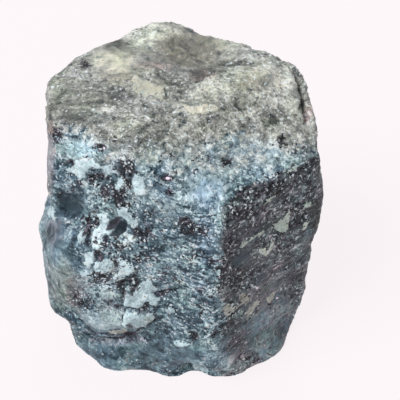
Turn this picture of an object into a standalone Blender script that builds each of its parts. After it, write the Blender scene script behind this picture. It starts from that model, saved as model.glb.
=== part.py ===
"""A rough sapphire: one stubby six-sided crystal of corundum with worn edges, standing on its broken end.

The crystal's long axis is +Z. Its broad front face looks at -Y and a little to the left. An azimuth is in
degrees from the front, -Y, and turns towards +X. A tilt is in degrees above the horizontal.
"""

import math

import bmesh
import bpy
from mathutils import Vector, noise

MM = 0.001

# Crystal faces of the main crystal: azimuth, tilt, and distance from the middle of the base in mm.
MAIN_FACES = {
    "broken end": (0, -90, 1.4),
    "top": (0, 90, 42.0),
    "front": (-20, 0, 16.2),
    "right": (40, 0, 18.1),
    "back right": (100, 1, 17.7),
    "back": (161, 0, 15.2),
    "back left": (220, 0, 14.7),
    "left": (280, 0, 18.1),
    "shoulder": (40, 63, 40.2),
    "brow": (10, 42, 36.8),
    "left corner": (-115, 45, 40.8),
    "back brow": (150, 60, 42.6),
    "back right corner": (128, 8, 20.9),
    "toe": (5, -45, 11.8),
    "right toe": (72, -12, 18.1),
    "left toe": (-40, -45, 13.4),
    "back toe": (165, -45, 9.6),
}

# The overgrowth is a second growth of the crystal. It bulges from the lower left corner of the front.
OVERGROWTH_FACES = {
    "outer left": (-85, 0, 20.6),
    "outer corner": (-52, 0, 21.3),
    "outer front": (-12, 0, 16.7),
    "upper left": (-85, 45, 28.7),
    "upper front": (-30, 40, 30.2),
    "cap": (0, 90, 27.5),
    "ledge": (95, -85, -7.3),
    "right end": (70, -35, -5.8),
    "inner back": (175, 0, 1.0),
    "inner right": (100, 0, 5.0),
}

# Rubbed surface: mesh width while it is shaped, how far edges are rubbed down, and the share of faces kept.
BLANK_SIZE = 120 * MM
MESH_WIDTH = 0.8 * MM
RUBBING_PASSES = 6
KEPT_SHARE = 0.36
FLAT_ANGLE = math.radians(32)

# Unevenness of the whole surface: size and height of the swells, and of the smaller bumps.
SWELL_SIZE = 11.0 * MM
SWELL_HEIGHT = 0.55 * MM
BUMP_SIZE = 3.2 * MM
BUMP_HEIGHT = 0.28 * MM

# Growth ledges that run around the six sides.
LEDGE_SPACING = 4.6 * MM
LEDGE_DEPTH = 0.38 * MM
LEDGE_WAVINESS = 3.4 * MM

# Hollows (negative) and raised parts (positive): place, radius and height, all in mm.
FORMS = {
    "hollow on the top": ((3.0, 8.0, 42.0), 6.5, -1.3),
    "pale flake on the top": ((-4.0, -2.2, 42.0), 3.2, 0.55),
    "left swell of the top": ((-9.0, 4.0, 42.0), 5.5, 0.35),
    "front swell of the top": ((3.0, -8.0, 40.5), 6.0, 0.4),
    "hollow above the overgrowth": ((-13.6, -12.2, 30.0), 3.6, -1.0),
    "knob of the overgrowth": ((-19.5, -7.0, 21.0), 3.4, 0.4),
    "swell of the left edge": ((-16.8, -9.5, 31.5), 7.5, 0.7),
    "foot below the ledge": ((-10.2, -14.4, -1.0), 8.0, 1.7),
    "undercut below the ledge": ((-10.5, -13.6, 5.0), 2.6, -0.9),
    "hollow in the front": ((-1.5, -16.5, 20.0), 5.0, -0.5),
    "chip in the right face": ((12.6, -12.6, 28.0), 2.4, -0.7),
    "hollow in the right face": ((13.5, -11.5, 14.0), 5.5, -0.6),
    "notch in the toe": ((3.2, -15.0, 1.0), 1.9, -1.0),
    "chip in the back": ((3.0, 15.5, 30.0), 4.2, -1.2),
    "hollow in the back": ((-3.0, 14.5, 13.0), 5.5, -0.9),
    "chip in the back left": ((-13.5, 7.0, 22.0), 4.0, -1.1),
    "hollow in the back right": ((15.5, 5.0, 19.0), 5.0, -0.8),
}

# A raised plate on the top ends in a step that runs from the middle to the back right.
STEP_START = Vector((2.0, 0.2, 42.0)) * MM
STEP_END = Vector((11.5, 5.4, 42.0)) * MM
STEP_HEIGHT = 0.75 * MM
STEP_REACH = 7.0 * MM
STEP_WIDTH = 0.7 * MM

# An open crack leaves a thin flange standing along the right end of the top.
CRACK_PATH = ((12.8, 7.0, 42.0), (15.3, 1.6, 41.0), (16.6, -3.2, 38.8), (17.0, -6.2, 36.6))
CRACK_WIDTH = 1.2 * MM
CRACK_DEPTH = 0.8 * MM

STONE_COLOUR = (0.125, 0.175, 0.205, 1.0)
STONE_ROUGHNESS = 0.5


def facing(azimuth, tilt):
    """The unit vector that looks out at this azimuth and tilt."""
    around, up = math.radians(azimuth), math.radians(tilt)
    return Vector((math.sin(around) * math.cos(up), -math.cos(around) * math.cos(up), math.sin(up)))


def cleave(bm, point, outward):
    """Splits off all that lies beyond the plane through the point, and closes the cut with a flat face."""
    everything = bm.verts[:] + bm.edges[:] + bm.faces[:]
    cut = bmesh.ops.bisect_plane(
        bm, geom=everything, dist=1e-7, plane_co=point, plane_no=outward, clear_outer=True
    )
    rim = [item for item in cut["geom_cut"] if isinstance(item, bmesh.types.BMEdge)]
    if rim:
        bmesh.ops.contextual_create(bm, geom=rim)


def cleaved_block(name, faces, collection):
    """A block of stone that is cleaved along each of the crystal faces in turn."""
    bm = bmesh.new()
    bmesh.ops.create_cube(bm, size=BLANK_SIZE)
    for azimuth, tilt, distance in faces.values():
        outward = facing(azimuth, tilt)
        cleave(bm, outward * distance * MM, outward)
    bmesh.ops.recalc_face_normals(bm, faces=bm.faces)
    mesh = bpy.data.meshes.new(name)
    bm.to_mesh(mesh)
    bm.free()
    block = bpy.data.objects.new(name, mesh)
    collection.objects.link(block)
    return block


def bake_modifiers(stone):
    """Replaces the mesh by its shape after the modifiers, and removes them."""
    bpy.context.view_layer.update()
    shaped = stone.evaluated_get(bpy.context.evaluated_depsgraph_get())
    baked = bpy.data.meshes.new_from_object(shaped)
    stone.modifiers.clear()
    stone.data = baked


def rub_down(stone, overgrowth):
    """Joins both growths into one solid and rubs the sharp edges down."""
    joined = stone.modifiers.new("both growths", "BOOLEAN")
    joined.operation = "UNION"
    joined.solver = "EXACT"
    joined.object = overgrowth
    fine = stone.modifiers.new("fine mesh", "REMESH")
    fine.mode = "VOXEL"
    fine.voxel_size = MESH_WIDTH
    rubbed = stone.modifiers.new("rubbed edges", "SMOOTH")
    rubbed.factor = 0.5
    rubbed.iterations = RUBBING_PASSES
    bake_modifiers(stone)


def fade(distance, width):
    """Falls softly from one to nothing as the distance grows to the width."""
    left = max(0.0, 1.0 - (distance / width) ** 2)
    return left * left


def growth_ledges(place):
    """The height of the ledges at a place: each rises slowly and then drops back at once."""
    warp = noise.noise(place / (3.0 * LEDGE_SPACING)) * LEDGE_WAVINESS
    turn = (place.z + 0.12 * place.x + warp) / LEDGE_SPACING
    rise = turn - math.floor(turn)
    strength = 0.5 + 0.5 * noise.noise(place / (2.0 * LEDGE_SPACING) + Vector((7.0, 3.0, 5.0)))
    return (rise - min(1.0, rise / 0.8) ** 6) * LEDGE_DEPTH * strength


def plate_on_top(place):
    """The height of the raised plate, which ends at the step and sinks into the top farther out."""
    along = (STEP_END - STEP_START).normalized()
    across = along.cross(Vector((0.0, 0.0, 1.0)))
    offset = place - STEP_START
    beyond = offset.dot(across) + 0.8 * MM * noise.noise(place / (3.0 * MM))
    on_line = fade(offset.dot(along) - 0.6 * (STEP_END - STEP_START).length, 11.0 * MM)
    rise = min(1.0, max(0.0, beyond / STEP_WIDTH + 0.5))
    return STEP_HEIGHT * rise * fade(max(0.0, beyond), STEP_REACH) * on_line


def distance_to_path(place, path):
    """The distance from a place to the nearest point of a bent line."""
    nearest = math.inf
    for start, end in zip(path, path[1:]):
        run = end - start
        share = min(1.0, max(0.0, (place - start).dot(run) / run.length_squared))
        nearest = min(nearest, (place - start - run * share).length)
    return nearest


def relief(place, outward):
    """How far the surface moves out at a place."""
    swell = noise.noise(place / SWELL_SIZE + Vector((3.0, 1.0, 2.0))) * SWELL_HEIGHT
    bump = noise.noise(place / BUMP_SIZE + Vector((1.0, 6.0, 4.0))) * BUMP_HEIGHT
    height = swell + bump + growth_ledges(place) * (1.0 - abs(outward.z))
    for centre, radius, rise in FORMS.values():
        height += rise * MM * fade((place - Vector(centre) * MM).length, radius * MM)
    if outward.z > 0.6:
        height += plate_on_top(place)
    path = [Vector(point) * MM for point in CRACK_PATH]
    height -= CRACK_DEPTH * fade(distance_to_path(place, path), CRACK_WIDTH)
    return height


def weather(stone):
    """Gives the rubbed solid its uneven surface."""
    mesh = stone.data
    moves = [(vertex.normal.copy(), relief(vertex.co, vertex.normal)) for vertex in mesh.vertices]
    for vertex, (outward, height) in zip(mesh.vertices, moves):
        vertex.co += outward * height
    mesh.update()


def thin_out(stone):
    """Keeps larger facets where the surface is flat and small ones where it bends."""
    fewer = stone.modifiers.new("larger facets", "DECIMATE")
    fewer.ratio = KEPT_SHARE
    fewer.use_collapse_triangulate = True
    bake_modifiers(stone)


def stand_on_base(stone):
    """Cuts the broken end flat at zero and centres the stone above it."""
    bm = bmesh.new()
    bm.from_mesh(stone.data)
    cleave(bm, Vector((0.0, 0.0, 0.0)), Vector((0.0, 0.0, -1.0)))
    bmesh.ops.remove_doubles(bm, verts=bm.verts, dist=0.02 * MM)
    low, high = corners(bm.verts)
    middle = (low + high) / 2
    shift = Vector((-middle.x, -middle.y, -low.z))
    bmesh.ops.translate(bm, verts=bm.verts, vec=shift)
    bmesh.ops.recalc_face_normals(bm, faces=bm.faces)
    bm.to_mesh(stone.data)
    bm.free()
    return shift


def corners(vertices):
    """The lowest and the highest corner of the box around the vertices."""
    low = Vector(min(vertex.co[axis] for vertex in vertices) for axis in range(3))
    high = Vector(max(vertex.co[axis] for vertex in vertices) for axis in range(3))
    return low, high


def stone_material():
    """Grey-blue corundum, neither dull nor polished."""
    material = bpy.data.materials.new("corundum")
    material.use_nodes = True
    surface = material.node_tree.nodes["Principled BSDF"]
    surface.inputs["Base Color"].default_value = STONE_COLOUR
    surface.inputs["Roughness"].default_value = STONE_ROUGHNESS
    surface.inputs["Metallic"].default_value = 0.0
    surface.inputs["IOR"].default_value = 1.77
    material.diffuse_color = STONE_COLOUR
    return material


def main():
    """Builds the crystal in its own collection and returns it with the shift onto its base."""
    for leftover in list(bpy.data.objects):
        bpy.data.objects.remove(leftover)
    collection = bpy.data.collections.new("rough_sapphire")
    guides = bpy.data.collections.new("guides")
    bpy.context.scene.collection.children.link(collection)
    bpy.context.scene.collection.children.link(guides)

    crystal = cleaved_block("sapphire_crystal", MAIN_FACES, collection)
    overgrowth = cleaved_block("overgrowth", OVERGROWTH_FACES, guides)
    overgrowth.hide_render = True
    overgrowth.display_type = "WIRE"

    rub_down(crystal, overgrowth)
    weather(crystal)
    thin_out(crystal)
    shift = stand_on_base(crystal)
    crystal.data.shade_smooth()
    crystal.data.set_sharp_from_angle(angle=FLAT_ANGLE)
    crystal.data.name = "sapphire_crystal"
    crystal.data.materials.clear()
    crystal.data.materials.append(stone_material())
    return crystal, shift


if __name__ == "__main__":
    main()
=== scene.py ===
# %% [markdown]
# # A rough sapphire crystal
#
# Corundum grows as six-sided prisms. This one is as long as a thumb joint, opaque, grey-blue on its
# sides and crusted olive-grey on its top. Everything that is seen here is one piece of stone, so the
# lesson has one model and one material. The work lies in its surface: worn crystal faces, growth lines,
# flakes, pits and mineral specks.
#
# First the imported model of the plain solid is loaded. It gives the size and the place of everything else.

# %% Load the plain solid
import math

import bpy
import numpy as np
from mathutils import Matrix, Vector, noise


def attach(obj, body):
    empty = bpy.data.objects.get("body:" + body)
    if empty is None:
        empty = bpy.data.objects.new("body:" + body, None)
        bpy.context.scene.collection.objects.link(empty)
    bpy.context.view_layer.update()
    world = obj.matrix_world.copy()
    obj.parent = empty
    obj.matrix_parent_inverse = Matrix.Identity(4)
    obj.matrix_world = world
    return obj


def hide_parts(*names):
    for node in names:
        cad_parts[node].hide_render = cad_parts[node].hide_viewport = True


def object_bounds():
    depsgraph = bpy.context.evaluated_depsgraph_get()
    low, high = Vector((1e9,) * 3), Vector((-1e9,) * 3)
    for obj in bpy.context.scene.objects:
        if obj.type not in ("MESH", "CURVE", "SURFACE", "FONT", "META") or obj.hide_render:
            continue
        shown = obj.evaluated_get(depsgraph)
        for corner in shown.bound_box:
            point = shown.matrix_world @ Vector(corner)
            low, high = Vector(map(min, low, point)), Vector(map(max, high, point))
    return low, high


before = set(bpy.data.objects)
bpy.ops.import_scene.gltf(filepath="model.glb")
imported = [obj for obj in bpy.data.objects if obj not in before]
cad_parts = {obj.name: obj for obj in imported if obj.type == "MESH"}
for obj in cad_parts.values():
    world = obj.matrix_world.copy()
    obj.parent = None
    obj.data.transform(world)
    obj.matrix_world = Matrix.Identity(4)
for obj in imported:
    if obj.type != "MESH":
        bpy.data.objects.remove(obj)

MM = 0.001
SOLID_NAME = "sapphire_crystal"
SOLID_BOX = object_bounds()
LOWEST = np.array(SOLID_BOX[0])
HIGHEST = np.array(SOLID_BOX[1])
bpy.ops.object.select_all(action="DESELECT")
print("solid box in mm", [[round(v / MM, 2) for v in corner] for corner in (LOWEST, HIGHEST)])

# %% [markdown]
# ## Where the picture is taken from
#
# The crystal was photographed from very near, a little more than a hand's width away, looking down by
# about forty degrees. That is why its base looks so much narrower than its top. The camera is made
# first, because the marks on the crystal are later placed by where they are seen in a picture 400
# pixels wide.

# %% Camera
PICTURE_SIDE = 400
FILM_WIDTH = 36.0
LENS = 67.5
CAMERA_DISTANCE = 112.0 * MM
LOOK_DOWN = math.radians(40.5)
LEAN = math.radians(1.9)
AIM = Vector((3.575, 1.027, 21.3)) * MM

camera_data = bpy.data.cameras.new("camera")
camera_data.lens = LENS
camera_data.sensor_width = FILM_WIDTH
camera_data.clip_start = 5.0 * MM
camera = bpy.data.objects.new("camera", camera_data)
bpy.context.scene.collection.objects.link(camera)
turn = Matrix.Rotation(math.radians(90) - LOOK_DOWN, 4, "X") @ Matrix.Rotation(LEAN, 4, "Z")
camera.matrix_world = Matrix.Translation(AIM + turn.col[2].to_3d() * CAMERA_DISTANCE) @ turn
bpy.context.scene.camera = camera
print("camera stands at", [round(v / MM, 1) for v in camera.matrix_world.translation], "mm")


# %% [markdown]
# ## From a place to a pixel
#
# A painter checks a mark by looking along a pencil. Here the same is done with the camera's own
# arithmetic: a place in metres is turned into the pixel at which the camera sees it. Projecting a
# drawing onto the stone with an image would need a picture file, and this needs only a few numbers.

# %% Where a point is seen in the picture
def seen_at(places):
    """The picture pixel, from the top left corner, at which the camera sees each place."""
    right, up, back = (np.array(turn.col[i].to_3d()) for i in range(3))
    offset = places - np.array(camera.matrix_world.translation)
    depth = -(offset @ back)
    focus = LENS / FILM_WIDTH * PICTURE_SIDE
    across = PICTURE_SIDE / 2 + focus * (offset @ right) / depth
    down = PICTURE_SIDE / 2 - focus * (offset @ up) / depth
    return np.stack([across, down], axis=1)


print("the camera aims at pixel", [round(float(value), 1) for value in seen_at(np.array([AIM]))[0]])

# %% [markdown]
# ## Floor and light
#
# The crystal stands on a plain pale floor that fills the picture. It is a sheet of milk glass with a
# soft light under it, so that shadows stay faint. The rest is as near a window: a large lamp above and
# to the left of the camera, a weak one from behind, and a bright surrounding. The right side of the
# crystal stays darker.

# %% Floor
FLOOR_SIZE = 24.0
FLOOR_COLOUR = (0.080, 0.0757, 0.0773, 1.0)
FLOOR_GLOW = 11.0
bpy.ops.mesh.primitive_plane_add(size=FLOOR_SIZE, location=(0.0, 0.0, 0.0))
floor = bpy.context.object
floor.name = "floor"
floor_glass = bpy.data.materials.new("milk glass")
floor_glass.use_nodes = True
glass = floor_glass.node_tree.nodes["Principled BSDF"]
glass.inputs["Base Color"].default_value = FLOOR_COLOUR
glass.inputs["Roughness"].default_value = 0.9
glass.inputs["Specular IOR Level"].default_value = 0.1
glass.inputs["Emission Color"].default_value = FLOOR_COLOUR
glass.inputs["Emission Strength"].default_value = FLOOR_GLOW
floor.data.materials.append(floor_glass)
print("floor is", FLOOR_SIZE, "m wide")

# %% [markdown]
# ## The backdrop
#
# From low angles the end of the floor would show as a grey line. A photographer hangs paper behind the
# object. A wide ring of pale paper does that for every side, and its light is switched off so that it
# changes nothing on the stone.

# %% A pale wall, which hides the horizon and lights nothing
WALL_RADIUS = 2.5
WALL_HEIGHT = 2.0
WALL_GLOW = (0.92, 0.88, 0.90, 1.0)
wall_paper = bpy.data.materials.new("backdrop paper")
wall_paper.use_nodes = True
paper = wall_paper.node_tree.nodes["Principled BSDF"]
paper.inputs["Base Color"].default_value = (0.0, 0.0, 0.0, 1.0)
paper.inputs["Specular IOR Level"].default_value = 0.0
paper.inputs["Emission Color"].default_value = WALL_GLOW
paper.inputs["Emission Strength"].default_value = 1.0
bpy.ops.mesh.primitive_cylinder_add(
    vertices=96, radius=WALL_RADIUS, depth=WALL_HEIGHT, end_fill_type="NOTHING",
    location=(0.0, 0.0, WALL_HEIGHT / 2),
)
wall = bpy.context.object
wall.name = "backdrop"
wall.data.materials.append(wall_paper)
wall.visible_diffuse = wall.visible_glossy = wall.visible_shadow = False
bpy.ops.object.select_all(action="DESELECT")
print("backdrop is", WALL_HEIGHT, "m high,", WALL_RADIUS, "m away")

# %% [markdown]
# ## The lamps
#
# The real light was daylight from a window. Small lamps would give hard shadows and sharp sparkles that
# the crystal doesn't show, so two large square lamps are used, a strong one at the front left and a
# weak one behind.

# %% Lamps
LAMPS = {"window": ((-0.40, -0.34, 0.62), 6.6), "back window": ((0.10, 0.55, 0.50), 1.3)}
LAMP_SIZE = 0.40
SURROUND_COLOUR = (1.0, 0.99, 1.0, 1.0)
SURROUND_LIGHT = 0.42
for name, (place, power) in LAMPS.items():
    lamp_data = bpy.data.lights.new(name, "AREA")
    lamp_data.size = LAMP_SIZE
    lamp_data.energy = power
    lamp = bpy.data.objects.new(name, lamp_data)
    lamp.location = place
    lamp.rotation_euler = (Vector(place) - AIM).to_track_quat("Z", "Y").to_euler()
    bpy.context.scene.collection.objects.link(lamp)
    print(name, "shines with", power, "W")
surround = bpy.data.worlds.new("surround")
surround.use_nodes = True
background = surround.node_tree.nodes["Background"]
background.inputs["Color"].default_value = SURROUND_COLOUR
background.inputs["Strength"].default_value = SURROUND_LIGHT
bpy.context.scene.world = surround
bpy.context.scene.view_settings.view_transform = "Standard"

# %% [markdown]
# ## The body of the stone
#
# The plain solid has the right form but only a few thousand facets. A copy of it is welded, because the
# loaded mesh is loose triangles, and then remeshed into small even squares. A sculptor would do the
# same before adding detail. Smoothing takes away the old facets, and what is lost in crispness comes
# back with the relief.

# %% Copy the solid and remesh it
MESH_WIDTH = 0.30 * MM
FACET_SMOOTHING = 8
WELD_DISTANCE = 0.002 * MM
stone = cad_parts[SOLID_NAME].copy()
stone.data = stone.data.copy()
stone.name = stone.data.name = "rough_sapphire"
stone.parent = None
stone.matrix_world = Matrix.Identity(4)
bpy.context.scene.collection.objects.link(stone)
stone.select_set(True)
bpy.context.view_layer.objects.active = stone
bpy.ops.object.mode_set(mode="EDIT")
bpy.ops.mesh.select_all(action="SELECT")
bpy.ops.mesh.remove_doubles(threshold=WELD_DISTANCE)
bpy.ops.object.mode_set(mode="OBJECT")
even = stone.modifiers.new("even squares", "REMESH")
even.mode = "VOXEL"
even.voxel_size = MESH_WIDTH
bpy.ops.object.modifier_apply(modifier=even.name)
soft = stone.modifiers.new("no old facets", "SMOOTH")
soft.factor = 0.5
soft.iterations = FACET_SMOOTHING
bpy.ops.object.modifier_apply(modifier=soft.name)
print("stone has", len(stone.data.vertices), "points")


# %% [markdown]
# ## The stone as a list of points
#
# Carving ninety thousand points by hand isn't possible, but one rule can move them all. The places and
# normals are read into arrays, each later step adds up how far a point has to move, and the arrays are
# written back once. Numbers that the material needs are stored on the points too.

# %% Read and write the points of the stone
def read_points(kind):
    """The places or the normals of all points as one array."""
    values = np.empty(len(stone.data.vertices) * 3)
    if kind == "place":
        stone.data.vertices.foreach_get("co", values)
    else:
        stone.data.vertex_normals.foreach_get("vector", values)
    return values.reshape(-1, 3)


def write_places(places):
    """Moves every point of the stone to its new place."""
    stone.data.vertices.foreach_set("co", places.ravel())
    stone.data.update()


def store(name, values):
    """Keeps one number for each point, for the material to read."""
    layer = stone.data.attributes.new(name, "FLOAT", "POINT")
    layer.data.foreach_set("value", np.asarray(values, dtype=np.float32))
    print(f"{name}: {values.min():.2f} to {values.max():.2f}, mean {values.mean():.2f}")


LAST_SEEN = -0.30
places = read_points("place")
normals = read_points("normal")
pixels = seen_at(places)
to_camera = np.array(camera.matrix_world.translation) - places
to_camera /= np.linalg.norm(to_camera, axis=1)[:, None]
sight = np.sum(normals * to_camera, axis=1)
seen = sight > LAST_SEEN
print(int(seen.sum()), "points face the camera or nearly do")


# %% [markdown]
# ## Noise and soft steps
#
# Three small helpers do most of the sculpting: a noise value for every point, a soft step between two
# values, and a direction from a compass angle, as the crystal's faces are 60 degrees apart. The seed makes
# the chance part of the noise the same in every run.

# %% Noise, steps and directions
NOISE_SEED = 7
noise.seed_set(NOISE_SEED)
print("the noise starts from seed", NOISE_SEED)


def noise_at(size, seed, octaves=3, stretch=(1.0, 1.0, 1.0)):
    """Smooth noise from about -1 to 1 with lumps of a size in mm, one value for each point."""
    scaled = places / (size * MM) / np.array(stretch) + np.array([seed * 7.3, seed * 3.1, seed * 5.7])
    values = (noise.fractal(Vector(point), 1.0, 2.0, octaves) for point in scaled)
    return np.fromiter(values, float, len(scaled))


def soft_step(values, start, end):
    """Zero below the start, one above the end, and a smooth ramp between them."""
    share = np.clip((values - start) / (end - start), 0.0, 1.0)
    return share * share * (3.0 - 2.0 * share)


def facing(azimuth, tilt=0.0):
    """The direction at an azimuth (from the front to the right) and a tilt above level, in degrees."""
    around, up = math.radians(azimuth), math.radians(tilt)
    return np.array([math.sin(around) * math.cos(up), -math.cos(around) * math.cos(up), math.sin(up)])


# %% [markdown]
# ## Outlines drawn on the crystal
#
# The pale chips, dark grains and stains sit at known places on the front of the crystal. Each is drawn
# as an outline in picture pixels, as if traced on glass before the camera. For every point that faces
# the camera or nearly does, the distance to the nearest outline is kept: positive inside, negative
# outside. The material turns it into an edge as sharp or as ragged as it likes, so the marks are finer
# than the mesh. Where the surface turns away from the camera the marks fade out, so that they don't
# smear over the side.

# %% Distance to an outline
PIXEL_WIDTH = 0.167
FAR_OUTSIDE = -3.0
FADE_DEPTH = 4.0
limb_fade = soft_step(sight, LAST_SEEN, 0.0)
print(int(np.sum(limb_fade > 0.5)), "points can carry drawn marks")


def depth_inside(outline, points):
    """How far inside the outline each picture point lies, in pixels; negative outside."""
    corners = np.array(outline, dtype=float)
    nearest = np.full(len(points), np.inf)
    inside = np.zeros(len(points), dtype=bool)
    for start, end in zip(corners, np.roll(corners, -1, axis=0)):
        run = end - start
        offset = points - start
        share = np.clip(offset @ run / max(run @ run, 1e-9), 0.0, 1.0)
        nearest = np.minimum(nearest, np.linalg.norm(offset - share[:, None] * run, axis=1))
        spans = (start[1] > points[:, 1]) != (end[1] > points[:, 1])
        rise = run[1] if run[1] else 1e-9
        inside ^= spans & (points[:, 0] < start[0] + run[0] * offset[:, 1] / rise)
    return np.where(inside, nearest, -nearest)


def drawn_shapes(outlines):
    """For every point of the stone, how far it lies inside the nearest of the outlines in mm."""
    depth = np.full(len(places), FAR_OUTSIDE)
    for outline in outlines.values():
        depth[seen] = np.maximum(depth[seen], depth_inside(outline, pixels[seen]) * PIXEL_WIDTH)
    return depth - FADE_DEPTH * (1.0 - limb_fade)


def drawn_lines(lines, width):
    """For every point, one on the lines and falling to zero at a width in mm from them."""
    near = np.zeros(len(places))
    for line in lines.values():
        there_and_back = tuple(line) + tuple(line[-2:0:-1])
        gap = np.abs(depth_inside(there_and_back, pixels[seen])) * PIXEL_WIDTH
        near[seen] = np.maximum(near[seen], 1.0 - soft_step(gap, 0.0, width))
    return near * limb_fade


def drawn_ovals(ovals):
    """For every point, the sum of soft ovals, each with a middle, two half widths and a strength."""
    total = np.zeros(len(places))
    for across, down, half_width, half_height, strength in ovals.values():
        reach = np.hypot((pixels[:, 0] - across) / half_width, (pixels[:, 1] - down) / half_height)
        total += np.where(seen, strength * (1.0 - soft_step(reach, 0.3, 1.2)), 0.0)
    return total * limb_fade


# %% [markdown]
# ## Pale chips
#
# Where the crust has broken away, clean corundum shows as pale, sharp-edged chips. They could be
# painted as noise, but the eye knows them by their places, so each is traced with the few corners its
# outline needs. On the brown side they are long slivers that follow the slanting scores.

# %% Pale chips
PALE_CHIPS = {
    "five sided": ((131, 180), (136, 172), (145, 176), (145, 193), (141, 197), (134, 190)),
    "blade": ((117, 208), (128, 209), (134, 217), (139, 225), (134, 229), (126, 221), (118, 216)),
    "beside the eye": (
        (97, 213), (104, 213), (110, 218), (108, 225), (111, 233), (103, 237), (105, 245), (97, 250),
        (91, 246), (92, 233), (99, 227), (101, 220),
    ),
    "left of the eye": ((79, 232), (87, 227), (87, 233), (84, 243), (80, 245), (77, 239)),
    "right of the eye": ((127, 230), (136, 238), (135, 244), (128, 241)),
    "below the eye": ((114, 243), (124, 239), (129, 244), (121, 248)),
    "upper streak": (
        (76, 160), (84, 157), (93, 158), (103, 166), (99, 169), (92, 167), (87, 172), (84, 178), (80, 180),
        (76, 174), (68, 173), (66, 168), (74, 166),
    ),
    "upper wedge": ((101, 165), (112, 164), (118, 174), (112, 173), (108, 176), (106, 181), (104, 175)),
    "small cyan": ((115, 184), (122, 176), (125, 182), (118, 192)),
    "on the knob": ((52, 206), (55, 209), (57, 220), (50, 217)),
    "white grain": ((84, 252), (94, 251), (95, 258), (90, 268), (85, 264)),
    "green band": (
        (92, 268), (96, 262), (104, 258), (110, 257), (115, 263), (118, 267), (110, 270), (100, 273)),
    "grey patch": (
        (117, 258), (126, 260), (134, 265), (134, 272), (126, 277), (118, 281), (112, 277), (120, 270)),
    "toothed": (
        (125, 291), (131, 294), (136, 288), (142, 281), (150, 278), (153, 284), (157, 290), (154, 294),
        (160, 299), (157, 305), (150, 304), (146, 301), (140, 309), (131, 307), (124, 305),
    ),
    "lowest": (
        (127, 311), (137, 312), (146, 314), (154, 312), (155, 319), (146, 325), (135, 328), (124, 325),
        (122, 319),
    ),
    "cyan low": ((164, 308), (171, 306), (175, 311), (168, 313)),
    "low right": ((203, 294), (209, 291), (217, 289), (214, 293), (206, 296)),
    "near the toe": ((202, 338), (208, 333), (213, 331), (211, 336), (205, 339)),
    "near the base": ((173, 341), (183, 342), (192, 344), (184, 347), (176, 346)),
    "triangle": ((272, 227), (281, 218), (289, 210), (290, 216), (287, 227), (283, 232), (279, 231)),
    "torn": ((258, 253), (264, 247), (270, 241), (275, 236), (273, 243), (270, 250), (265, 256)),
    "right dash": ((255, 236), (263, 229), (264, 232), (258, 237)),
    "far dash": ((299, 228), (303, 222), (308, 216), (305, 224), (301, 229)),
    "high dash": ((299, 206), (308, 199), (309, 203), (302, 208)),
    "along the shoulder": ((284, 172), (296, 165), (307, 160), (308, 162), (296, 169), (286, 174)),
    "thin upper dash": ((262, 202), (272, 196), (280, 191), (281, 193), (272, 199), (263, 204)),
    "thin lower dash": ((240, 246), (250, 238), (258, 233), (259, 235), (250, 241), (241, 248)),
    "flake on the top": (
        (131, 83), (134, 77), (137, 75), (143, 80), (151, 82), (158, 85), (164, 89), (166, 98), (160, 102),
        (152, 99), (142, 97), (136, 93),
    ),
    "by the step": ((181, 104), (196, 106), (214, 104), (219, 109), (208, 113), (190, 114)),
}
print(len(PALE_CHIPS), "pale chips")
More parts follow.
